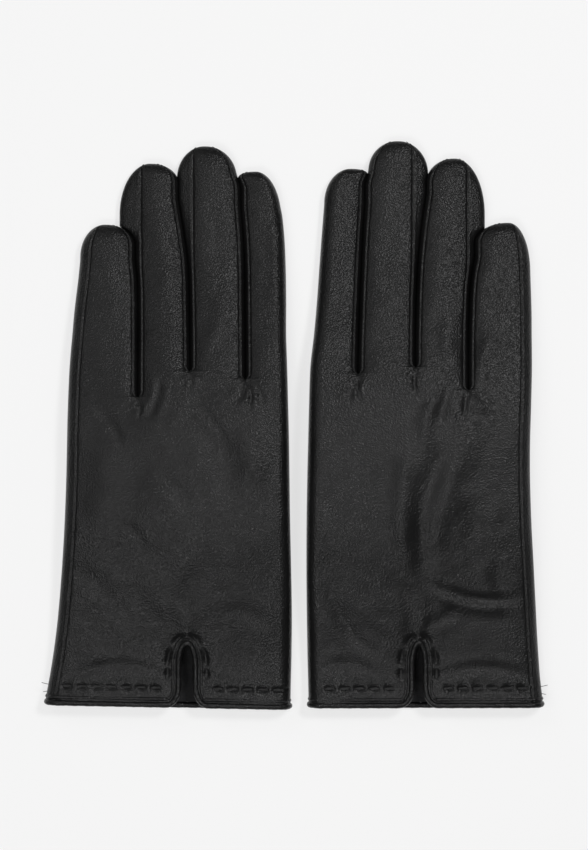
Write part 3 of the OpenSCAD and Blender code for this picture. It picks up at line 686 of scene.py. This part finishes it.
def side_strip(skin, name, finger, high, v):
    """The side of a finger: a fourchette between its two seams, or the folded outside."""
    glove = skin.glove
    line = finger + (1 if high else 0)
    s = np.linspace(0, 1, SIDE_COLUMNS)
    s = 0.5 - 0.5 * np.sign(1 - 2 * s) * np.abs(1 - 2 * s) ** 0.75
    edge = glove.edge(finger, high, v)
    top_x = glove.seam(finger, high, v, vent=False)
    folded = edge + (-FOLD if high else FOLD) * glove.dome(finger, high, v)
    low_x = top_x if line in GAP_LINES else folded
    top = back_z(glove, finger, top_x, v)
    low = palm_z(glove, finger, low_x, v)
    s = s[None, :]
    top_x, low_x, top, low, edge, v = (a[:, None] for a in (top_x, low_x, top, low, edge, v))
    base = top_x + (low_x - top_x) * s
    x = base + (edge - base) * np.sin(math.pi * s)
    z = top + (low - top) * (0.5 - 0.5 * np.cos(math.pi * s))
    if line != THUMB_LINE:
        away = np.abs(x - top_x)
        near = (1 - ramp(0.0, 0.3, s)) * (1 - bump(away, 0.3))
        z = z + RIDGE * near * (1 - ramp(0.6, 2.2, away)) * glove.tip_height(finger, v)
    skin.grid(name, x, v, z, turned=not high)


def sheet_grids(skin, name, finger, v):
    """The back and the palm of one finger's column."""
    glove = skin.glove
    rows = v[:, None]
    low, high = glove.seam(finger, False, rows), glove.seam(finger, True, rows)
    x = low + (high - low) * column_shares(BACK_COLUMNS)[None, :]
    skin.grid(name, x, rows, back_z(glove, finger, x, rows))
    low = glove.seam(finger, False, rows, vent=False)
    high = glove.seam(finger, True, rows, vent=False)
    if finger == LITTLE:
        low = glove.edge(LITTLE, False, rows) + FOLD * glove.dome(LITTLE, False, rows)
    x = low + (high - low) * column_shares(PALM_COLUMNS)[None, :]
    skin.grid(name, x, rows, palm_z(glove, finger, x, rows), turned=True)


def glove_skin(glove):
    """The leather of one glove as pieces: the hand, each finger, and the fourchettes."""
    skin = Skin(glove)
    hand = f"{glove.side}_hand_leather_skin"
    crotch = f"{glove.side}_crotch_fourchette_skin"
    rows = hand_rows(glove)
    for finger, word in enumerate(FINGERS):
        leather_skin = f"{glove.side}_{word}_leather_skin"
        own_rows = finger_rows(glove, finger)
        sheet_grids(skin, hand, finger, rows)
        sheet_grids(skin, leather_skin, finger, own_rows)
        for high in (False, True):
            line = finger + (1 if high else 0)
            if line in GAP_LINES:
                above = rows[rows >= glove.crotches[line - 1] - 0.01]
                side_strip(skin, crotch, finger, high, above)
                side_strip(skin, f"{glove.side}_{word}_fourchette_skin", finger, high, own_rows)
            else:
                side_strip(skin, hand, finger, high, rows)
                side_strip(skin, leather_skin, finger, high, own_rows)
    return skin.pieces()


def tube(name, path, radius, sides=12, loop=False, outward=None, flatten=1.0):
    """A round rope along a path in metres. outward gives the direction its flattened side faces."""
    path = np.asarray(path, float)
    ahead = np.roll(path, -1, 0)
    behind = np.roll(path, 1, 0)
    if not loop:
        ahead[-1], behind[0] = path[-1], path[0]
    along = ahead - behind
    along /= np.linalg.norm(along, axis=1, keepdims=True)
    up = np.tile(UP, (len(path), 1)) if outward is None else np.asarray(outward, float)
    across = np.cross(along, up)
    across /= np.linalg.norm(across, axis=1, keepdims=True)
    up = np.cross(across, along)
    a = np.linspace(0, 2 * math.pi, sides, endpoint=False)[None, :, None]
    radius = np.broadcast_to(np.asarray(radius, float), (len(path),))[:, None, None]
    ring = path[:, None] + radius * (
        flatten * up[:, None] * np.cos(a) + across[:, None] * np.sin(a))
    i = np.arange(len(path) * sides).reshape(len(path), sides)
    following = np.roll(i, -1, 0)
    faces = np.stack([i, np.roll(i, -1, 1), np.roll(following, -1, 1), following], -1)
    faces = faces.reshape(-1, 4) if loop else faces[:-1].reshape(-1, 4)
    piece = surface(name, ring.reshape(-1, 3), faces)
    if not loop:
        close_ends(piece)
    return piece


def close_ends(piece):
    """Fills the open ends of a tube."""
    mesh = bmesh.new()
    mesh.from_mesh(piece.data)
    bmesh.ops.holes_fill(mesh, edges=[e for e in mesh.edges if e.is_boundary], sides=0)
    mesh.to_mesh(piece.data)
    mesh.free()


def join(name, parts):
    """One object from several, keeping their materials."""
    bpy.ops.object.select_all(action="DESELECT")
    for part in parts:
        part.select_set(True)
    bpy.context.view_layer.objects.active = parts[0]
    if len(parts) > 1:
        bpy.ops.object.join()
    parts[0].name = name
    return parts[0]


def resample(points, step):
    """The same line with points evenly apart; columns after the third ride along."""
    points = np.asarray(points, float)
    steps = np.linalg.norm(np.diff(points[:, :3], axis=0), axis=1)
    length = np.concatenate([[0], np.cumsum(steps)])
    at = np.linspace(0, length[-1], max(int(length[-1] / step), 2))
    return np.stack([np.interp(at, length, column) for column in points.T], -1)


# ---- cuff ----


def hem_loop(glove, away):
    """The bound edge, once round the hem and the vent, moved into the leather by away mm.
    Returns points (x, v, z) on the leather, and the direction out of it at each."""
    v = BINDING + away
    row = np.array([v])
    low, high = glove.edge(LITTLE, False, row)[0], glove.edge(INDEX, True, row)[0]
    top = glove.back(0, v)
    bottom = glove.palm(0, v)
    mid = (top + bottom) / 2
    half = (top - bottom) / 2
    opening = glove.vent_half + VENT_FLARE - away
    points = []
    out = []

    def add(x, vv, z, nx, nz):
        points.append((x, vv, z))
        out.append((nx, 0.0, nz))

    def turn(centre, first, last):
        for a in np.radians(np.linspace(first, last, 19))[1:-1]:
            x = centre + FOLD * math.cos(a)
            add(x, v, mid + half * math.sin(a), math.cos(a), math.sin(a))

    for x in np.linspace(glove.vent_x + opening, high - FOLD, 40)[1:]:
        add(x, v, top, 0, 1)
    turn(high - FOLD, 90, -90)
    for x in np.linspace(high - FOLD, low + FOLD, 60):
        drop = PALM_DROP * ramp(*PALM_DROP_FADE, min(x - low - FOLD, high - FOLD - x))
        add(x, v - drop, bottom, 0, -1)
    turn(low + FOLD, 270, 90)
    for x in np.linspace(low + FOLD, glove.vent_x - opening, 40)[:-1]:
        add(x, v, top, 0, 1)
    up_the_vent = vent_path(glove, away)
    for sign, path in ((-1, up_the_vent), (1, up_the_vent[::-1][1:])):
        for dx, vv in path:
            x = glove.vent_x + sign * dx
            column = RING if sign < 0 else MIDDLE
            z = back_z(glove, column, np.array([x]), np.array([vv]))[0]
            add(x, vv, z, 0, 1)
    return np.array(points), np.array(out)


def vent_path(glove, away):
    """One side of the vent, from the hem up to its top, as (distance from its middle, v)."""
    path = []
    for q in np.radians(np.linspace(90, 0, 12)):
        path.append((glove.vent_half + VENT_FLARE - (VENT_FLARE - away) * math.cos(q),
                     FLARE_FROM - (FLARE_FROM - (BINDING + away)) * math.sin(q)))
    shoulder = glove.vent_top - VENT_POINT
    for v in np.linspace(FLARE_FROM, shoulder, 16)[1:-1]:
        path.append((glove.vent_half + away, v))
    for q in np.radians(np.linspace(0, 90, 20)):
        path.append(((glove.vent_half + away) * math.cos(q),
                     shoulder + (VENT_POINT + away) * math.sin(q)))
    return path


def rolled_edge(glove, name, away, radius, sink, flatten):
    """A rolled strip of leather round the hem, with its path and the directions out of it."""
    points, out = hem_loop(glove, away)
    loop = np.concatenate([points, out], 1)
    step = 0.9
    both = resample(np.concatenate([loop, loop[:1]]), step)[:-1]
    even, directions = both[:, :3], both[:, 3:]
    directions[:, 0] *= glove.sign
    path = glove.world(even[:, 0], even[:, 1], even[:, 2])
    directions /= np.linalg.norm(directions, axis=1, keepdims=True)
    i = np.arange(len(path))
    swell = 1 + 0.04 * np.sin(i * 0.9) + 0.03 * np.sin(i * 2.3)
    sunk = path - directions * sink * MM
    return tube(name, sunk, radius * MM * swell, 14, True, directions, flatten), path, directions


def stitches(name, path, out, pitch, length, radius, proud):
    """Short threads, each a little arch, along an evenly spaced path in metres."""
    pitch, length, radius, proud = (size * MM for size in (pitch, length, radius, proud))
    every = max(int(round(pitch / np.linalg.norm(path[1] - path[0]))), 1)
    sides = 6
    shares = np.linspace(-0.5, 0.5, 5)
    a = np.linspace(0, 2 * math.pi, sides, endpoint=False)[:, None]
    points = []
    for i in range(1, len(path) - 1, every):
        along = path[i + 1] - path[i - 1]
        along /= np.linalg.norm(along)
        up = out[i] / np.linalg.norm(out[i])
        across = np.cross(along, up)
        for s in shares:
            centre = path[i] + along * s * length + up * (proud - s**2 * 3 * radius)
            r = radius * (1 if abs(s) < 0.45 else 0.55)
            points.append(centre + r * (np.cos(a) * up + np.sin(a) * across))
    i = np.arange(len(points) * sides).reshape(-1, len(shares), sides)
    nearer = i[:, :-1]
    farther = i[:, 1:]
    faces = [nearer, np.roll(nearer, -1, 2), np.roll(farther, -1, 2), farther]
    return surface(name, np.concatenate(points), np.stack(faces, -1).reshape(-1, 4))


def seam_threads(glove):
    """{name: object} with the fine stitching down every seam of the back."""
    made = {}
    rows = hand_rows(glove)
    shared = []
    for finger, word in enumerate(FINGERS):
        own = []
        for high in (False, True):
            line = finger + (1 if high else 0)
            if line == THUMB_LINE:
                continue
            shift = glove.sign * (1 if high else -1) * SEAM_SHIFT * MM
            hand_part = rows if line == OUTER_LINE else rows[rows > glove.crotches[line - 1] + 1]
            for v, bucket in ((hand_part, shared), (finger_rows(glove, finger), own)):
                if len(v) < 3:
                    continue
                path = seam_path(glove, finger, high, v, RIDGE * 0.9)
                path[:, 0] += shift
                out = np.tile(UP, (len(path), 1))
                bucket.append(stitches("thread", path, out, **SEAM_STITCH))
        made[word] = join(f"{glove.side}_{word}_seam_thread", own)
    made["hand"] = join(f"{glove.side}_hand_seam_thread", shared)
    return made


def seam_path(glove, finger, high, v, proud):
    """Even points down a seam, leaving out the thin end of the fingertip."""
    x = glove.seam(finger, high, v, vent=False)
    z = back_z(glove, finger, x, v) + proud
    keep = glove.tip_height(finger, v) > 0.35
    return resample(glove.world(x, v, z)[keep], STITCH_STEP * MM)


def picked_stitches(glove):
    """The decorative picked stitches, sunk in their dimples."""
    parts = []

    def add(x, v, angle, finger):
        half = PICK_LENGTH / 2
        s = np.linspace(-half, half, 7)
        xs = x + s * math.cos(angle)
        vs = v + s * math.sin(angle)
        z = back_z(glove, finger, xs, vs) + 0.12 + 0.10 * (1 - (s / half) ** 2)
        z[[0, -1]] -= 0.35
        parts.append(tube("pick", glove.world(xs, vs, z), PICK_RADIUS * MM, 8))

    row = np.array([PICK_ROW])
    low = glove.edge(LITTLE, False, row)[0] + SIDE_SEAM + 1.5
    high = glove.edge(INDEX, True, row)[0] - 3
    first = glove.vent_half + PICK_START
    x = glove.vent_x + first
    while x < high:
        add(x, PICK_ROW, 0, MIDDLE if x < 25 else INDEX)
        x += PICK_PITCH
    x = glove.vent_x - first
    while x > low:
        add(x, PICK_ROW, 0, RING if x > -12 else LITTLE)
        x -= PICK_PITCH
    for sign, column in ((-1, RING), (1, MIDDLE)):
        v = PICK_ROW + PICK_PITCH
        while v < glove.vent_top - VENT_POINT + 1:
            add(glove.vent_x + sign * (glove.vent_half + PICK_AWAY), v, math.pi / 2, column)
            v += VENT_PITCH
    return join(f"{glove.side}_picked_stitches", parts)


def whiskers(glove):
    """Loose thread ends at the outer corner of the cuff."""
    parts = []
    edge = glove.edge(LITTLE, False, np.array([8.0]))[0]
    inside = 1.2
    for v, reach, droop in ((8.6, 2.6, 0.6), (6.0, 1.9, -0.8)):
        s = np.linspace(0, 1, 7)
        x = edge + inside - (reach + inside) * s
        z = 8.2 - 1.5 * s + 0.6 * np.sin(3 * s)
        parts.append(tube("whisker", glove.world(x, v + droop * s, z), 0.13 * MM, 6))
    return join(f"{glove.side}_loose_threads", parts)


def hand_lining(glove):
    """The lining, seen inside the cuff and through the vent."""
    skin = Skin(glove)
    name = f"{glove.side}_hand_lining_cloth"
    rows = np.concatenate([np.arange(1.6, 40, 1.2), np.arange(40, 132, 4.0)])[:, None]
    shares = column_shares(13)[None, :]
    gap = LEATHER_LINING
    for finger in range(len(FINGERS)):
        low, high = glove.seam(finger, False, rows), glove.seam(finger, True, rows)
        low = low - (0.2 if finger == MIDDLE else 0) * ramp(34, 30, rows)
        x = low + (high - low) * shares
        ribs = RIB_HEIGHT * np.sin(x * 2 * math.pi / RIB_PITCH)
        skin.grid(name, x, rows, back_z(glove, finger, x, rows) - gap, turned=True)
        low = glove.seam(finger, False, rows, vent=False)
        high = glove.seam(finger, True, rows, vent=False)
        x = low + (high - low) * shares
        skin.grid(name, x, rows, palm_z(glove, finger, x, rows) + gap + ribs)
    for finger, high in ((LITTLE, False), (INDEX, True)):
        s = np.linspace(0, 1, 11)[None, :]
        top_x = glove.seam(finger, high, rows, vent=False)
        edge = glove.edge(finger, high, rows) + (-gap if high else gap)
        top = back_z(glove, finger, top_x, rows) - gap
        low = palm_z(glove, finger, top_x, rows) + gap
        x = top_x + (edge - top_x) * np.sin(math.pi * s)
        z = top + (low - top) * (0.5 - 0.5 * np.cos(math.pi * s))
        skin.grid(name, x, rows, z, turned=high)
    return skin.pieces()[name]


def thumb(glove):
    """The thumb, folded flat under the palm, and its gusset."""
    low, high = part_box(f"{glove.side}_thumb_leather")
    base_low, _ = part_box(f"{glove.side}_thumb_base")
    middle = ((low.x + high.x) / 2 / MM - glove.centre) * glove.sign
    half_width = (high.x - low.x) / 2 / MM
    half_height = (high.z - low.z) / MM / 2
    tip = high.y / MM - glove.hem + THUMB_TIP_PLAY
    start = base_low.y / MM - glove.hem
    reach, root = THUMB_TIP_REACH, THUMB_ROOT_REACH
    v = np.concatenate([start + root * (1 - np.cos(np.radians(np.linspace(0, 90, 16)))),
                        np.arange(start + root + 1, tip - reach, 1.0),
                        tip - reach + reach * np.sin(np.radians(np.linspace(0, 90, 18)))])
    s_tip = np.clip((v - (tip - reach)) / reach, 0, 1)
    s_root = np.clip((start + root - v) / root, 0, 1)
    wide = (1 - s_tip**2.2) ** (1 / 2.2) * np.sqrt(1 - s_root**2)
    tall = (1 - s_tip**3.2) ** (1 / 3.2)
    a = np.radians(np.linspace(0, 360, 49))
    round_x = np.sign(np.cos(a)) * np.abs(np.cos(a)) ** 0.8
    round_z = np.sign(np.sin(a)) * np.abs(np.sin(a)) ** 0.75
    creases = 0.16 * np.sin(v / 2.1) * ramp(*THUMB_CREASES, v) + 0.1 * np.sin(v / 7.0)
    x = middle + half_width * wide[:, None] * round_x[None, :]
    z = half_height + half_height * (tall * (1 - 0.02 * creases))[:, None] * round_z[None, :]
    skin = Skin(glove)
    name = f"{glove.side}_thumb_leather_skin"
    skin.grid(name, x, v[:, None], z, turned=True)
    return skin.pieces()[name]


# ---- materials ----


def shader_of(material):
    """Gives a material an empty node tree with one shader. Returns the tree and the shader."""
    material.use_nodes = True
    tree = material.node_tree
    tree.nodes.clear()
    out = tree.nodes.new("ShaderNodeOutputMaterial")
    shader = tree.nodes.new("ShaderNodeBsdfPrincipled")
    tree.links.new(shader.outputs[0], out.inputs[0])
    return tree, shader


def object_place(tree):
    """A point's place in its own object, for textures."""
    return tree.nodes.new("ShaderNodeTexCoord").outputs["Object"]


def noise(tree, scale, detail, place):
    """Noise with scale waves a metre."""
    node = tree.nodes.new("ShaderNodeTexNoise")
    node.inputs["Scale"].default_value = scale
    node.inputs["Detail"].default_value = detail
    tree.links.new(place, node.inputs["Vector"])
    return node


def uneven_colour(tree, shader, source, dark, light):
    """Colours the shader between dark and light, as the source varies."""
    spread = tree.nodes.new("ShaderNodeValToRGB")
    spread.color_ramp.elements[0].position = 0.3
    spread.color_ramp.elements[1].position = 0.7
    spread.color_ramp.elements[0].color = (*dark, 1)
    spread.color_ramp.elements[1].color = (*light, 1)
    tree.links.new(source, spread.inputs[0])
    tree.links.new(spread.outputs[0], shader.inputs["Base Color"])


def relief(tree, height, strength, distance, under=None):
    """A bump node for a height, on top of the one under it."""
    node = tree.nodes.new("ShaderNodeBump")
    node.inputs["Strength"].default_value = strength
    node.inputs["Distance"].default_value = distance
    tree.links.new(height, node.inputs["Height"])
    if under:
        tree.links.new(under.outputs[0], node.inputs["Normal"])
    return node


def leather_material(name, dark, light, rough):
    """Black nappa: fine pebbled grain with pores, soft crinkles and a slightly uneven sheen."""
    material = bpy.data.materials.new(name)
    tree, shader = shader_of(material)
    place = object_place(tree)
    uneven_colour(tree, shader, noise(tree, 35, 3, place).outputs["Fac"], dark, light)
    sheen = tree.nodes.new("ShaderNodeMapRange")
    sheen.inputs["To Min"].default_value = rough - 0.05
    sheen.inputs["To Max"].default_value = rough + 0.07
    tree.links.new(noise(tree, 90, 2, place).outputs["Fac"], sheen.inputs["Value"])
    tree.links.new(sheen.outputs[0], shader.inputs["Roughness"])
    pebbles = tree.nodes.new("ShaderNodeTexVoronoi")
    pebbles.feature = "F1"
    pebbles.inputs["Scale"].default_value = 1500
    tree.links.new(place, pebbles.inputs["Vector"])
    grain = tree.nodes.new("ShaderNodeMath")
    grain.operation = "MULTIPLY_ADD"
    grain.inputs[1].default_value = 1.1  # the pores' share beside the pebbles
    tree.links.new(noise(tree, 1250, 2, place).outputs["Fac"], grain.inputs[0])
    tree.links.new(pebbles.outputs["Distance"], grain.inputs[2])
    crinkles = noise(tree, 150, 2, place)
    crinkles.inputs["Distortion"].default_value = 0.6
    soft = relief(tree, crinkles.outputs["Fac"], 0.3, 0.0007)
    fine = relief(tree, grain.outputs[0], 0.75, 0.00019, under=soft)
    tree.links.new(fine.outputs[0], shader.inputs["Normal"])
    shader.inputs["Specular IOR Level"].default_value = 0.25
    return material


def cloth_material(name, dark, light, scale, rough, lift):
    """Black fibres, for the knitted lining and the threads."""
    material = bpy.data.materials.new(name)
    tree, shader = shader_of(material)
    fibres = noise(tree, scale, 4, object_place(tree)).outputs["Fac"]
    uneven_colour(tree, shader, fibres, dark, light)
    tree.links.new(relief(tree, fibres, 0.6, lift).outputs[0], shader.inputs["Normal"])
    shader.inputs["Roughness"].default_value = rough
    shader.inputs["Sheen Weight"].default_value = 0.2
    return material


leather = leather_material(
    "nappa_leather", (0.0035, 0.0035, 0.0036), (0.007, 0.007, 0.0071), 0.32)
edge_leather = leather_material(
    "binding_leather", (0.004, 0.004, 0.0041), (0.008, 0.008, 0.0081), 0.30)
lining_cloth = cloth_material(
    "knitted_lining", (0.004, 0.004, 0.0045), (0.012, 0.012, 0.013), 900, 0.9, 0.0004)
thread_cloth = cloth_material(
    "sewing_thread", (0.004, 0.004, 0.004), (0.014, 0.014, 0.014), 2500, 0.6, 0.00008)


def dress(piece, material):
    """Gives a piece its material."""
    piece.data.materials.clear()
    piece.data.materials.append(material)


# ---- the gloves ----


def build_hand(glove, skins, threads):
    """The pieces that ride on the hand and need no cuff."""
    side = glove.side
    hand = skins[f"{side}_hand_leather_skin"]
    crotch = skins[f"{side}_crotch_fourchette_skin"]
    lining = hand_lining(glove)
    for piece, material, slot in (
        (hand, leather, "leather"),
        (crotch, leather, "leather"),
        (threads["hand"], thread_cloth, "thread"),
        (lining, lining_cloth, "lining"),
    ):
        dress(piece, material)
        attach(piece, glove.body)
    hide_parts(f"{side}_hand_leather", f"{side}_knuckle_leather")
    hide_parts(f"{side}_crotch_fourchettes")
    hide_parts(f"{side}_side_seam")
    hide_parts(f"{side}_hand_lining")


def build_finger(glove, word, skins, thread):
    """One finger's leather, fourchettes and thread."""
    side = glove.side
    skin = skins[f"{side}_{word}_leather_skin"]
    strips = skins[f"{side}_{word}_fourchette_skin"]
    start = glove.world(0, KNUCKLE_LINE, KNUCKLE_HEIGHT)
    end = glove.world(0, KNUCKLE_END, KNUCKLE_HEIGHT)
    for piece, material, slot in (
        (skin, leather, "leather"),
        (strips, leather, "leather"),
        (thread, thread_cloth, "thread"),
    ):
        dress(piece, material)
        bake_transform(piece)
    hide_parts(f"{side}_{word}_leather", f"{side}_{word}_lining")
    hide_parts(f"{side}_{word}_fourchettes")
    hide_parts(f"{side}_{word}_seams")


def build_thumb(glove):
    """The thumb's leather, folded flat under the palm."""
    side = glove.side
    skin = thumb(glove)
    dress(skin, leather)
    start, end = (glove.world(0, v, THUMB_HEIGHT) for v in THUMB_FOLD)
    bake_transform(skin)
    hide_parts(f"{side}_thumb_leather", f"{side}_thumb_lining", f"{side}_thumb_seam",
                f"{side}_thumb_base")


def build_cuff(glove):
    """The binding, the strip above it and the stitches."""
    side = glove.side
    binding, _, _ = rolled_edge(
        glove, f"{side}_hem_binding_roll", 0, BINDING, BINDING_SINK, 1.0)
    strip, path, out = rolled_edge(
        glove, f"{side}_hem_strip_roll", STRIP_AWAY, STRIP, STRIP_SINK, STRIP_FLATNESS)
    both = resample(np.concatenate([path, out], 1), STITCH_STEP * MM)
    stitching = stitches(f"{side}_hem_machine_stitches", both[:, :3], both[:, 3:], **HEM_STITCH)
    picks = picked_stitches(glove)
    for piece, material, slot in (
        (binding, edge_leather, "leather"),
        (strip, edge_leather, "leather"),
        (stitching, thread_cloth, "thread"),
        (picks, thread_cloth, "thread"),
        (whiskers(glove), thread_cloth, "thread"),
    ):
        dress(piece, material)
        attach(piece, glove.body)
    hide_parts(f"{side}_hem_binding")
    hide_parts(f"{side}_hem_topstitch")
    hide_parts(f"{side}_cuff_stitching")


for hand_side in ("left", "right"):
    the_glove = Glove(hand_side)
    glove_skins = glove_skin(the_glove)
    glove_threads = seam_threads(the_glove)
    build_hand(the_glove, glove_skins, glove_threads)
    for finger_word in FINGERS:
        build_finger(the_glove, finger_word, glove_skins, glove_threads[finger_word])
    build_thumb(the_glove)
    build_cuff(the_glove)

# ---- table, light and camera ----

TABLE_GLOW = 0.675  # the table shines a little, for a nearly shadowless pale ground
ROOM_LIGHT = 0.12

bpy.ops.mesh.primitive_plane_add(size=6, location=(0, 0, 0))
table = bpy.context.object
table.name = "table"
table_material = bpy.data.materials.new("pale_table")
_, table_shader = shader_of(table_material)
table_shader.inputs["Base Color"].default_value = (0.3, 0.3, 0.3, 1)
table_shader.inputs["Roughness"].default_value = 0.9
table_shader.inputs["Specular IOR Level"].default_value = 0.0
table_shader.inputs["Emission Color"].default_value = (1, 1, 1, 1)
table_shader.inputs["Emission Strength"].default_value = TABLE_GLOW
table.data.materials.append(table_material)

world = bpy.data.worlds.new("studio")
bpy.context.scene.world = world
world.use_nodes = True
world.node_tree.nodes["Background"].inputs[0].default_value = (1, 1, 1, 1)
world.node_tree.nodes["Background"].inputs[1].default_value = ROOM_LIGHT


def lamp(name, location, aim, size, radiance):
    """A soft box of even radiance, pointing at aim."""
    data = bpy.data.lights.new(name, "AREA")
    data.shape = "RECTANGLE"
    data.size, data.size_y = size
    data.energy = radiance * math.pi * size[0] * size[1]
    light = bpy.data.objects.new(name, data)
    light.location = location
    light.rotation_euler = (Vector(aim) - Vector(location)).to_track_quat("-Z", "Y").to_euler()
    bpy.context.scene.collection.objects.link(light)


lamp("ceiling", (0, 0.1, 1.5), (0, 0, 0), (2.6, 2.6), 0.12)
lamp("window", (-0.62, 0.66, 0.95), (0, 0, 0), (0.6, 0.6), 1.3)
lamp("finger_box", (0.42, 0.36, 1.08), (0.07, 0.06, 0), (0.20, 0.20), 42.0)
lamp("cuff_box", (-0.18, -0.42, 1.05), (-0.05, -0.05, 0), (0.36, 0.20), 13.0)
lamp("left_panel", (-0.46, 0.0, 1.0), (0, 0, 0), (0.16, 0.4), 4.6)

camera_data = bpy.data.cameras.new("camera")
camera_data.lens = 100
camera_data.sensor_fit = "VERTICAL"
camera_data.sensor_height = 36
camera = bpy.data.objects.new("camera", camera_data)
camera.location = (0, 0, 1.0115)
bpy.context.scene.collection.objects.link(camera)
bpy.context.scene.camera = camera
bpy.context.scene.view_settings.view_transform = "Standard"
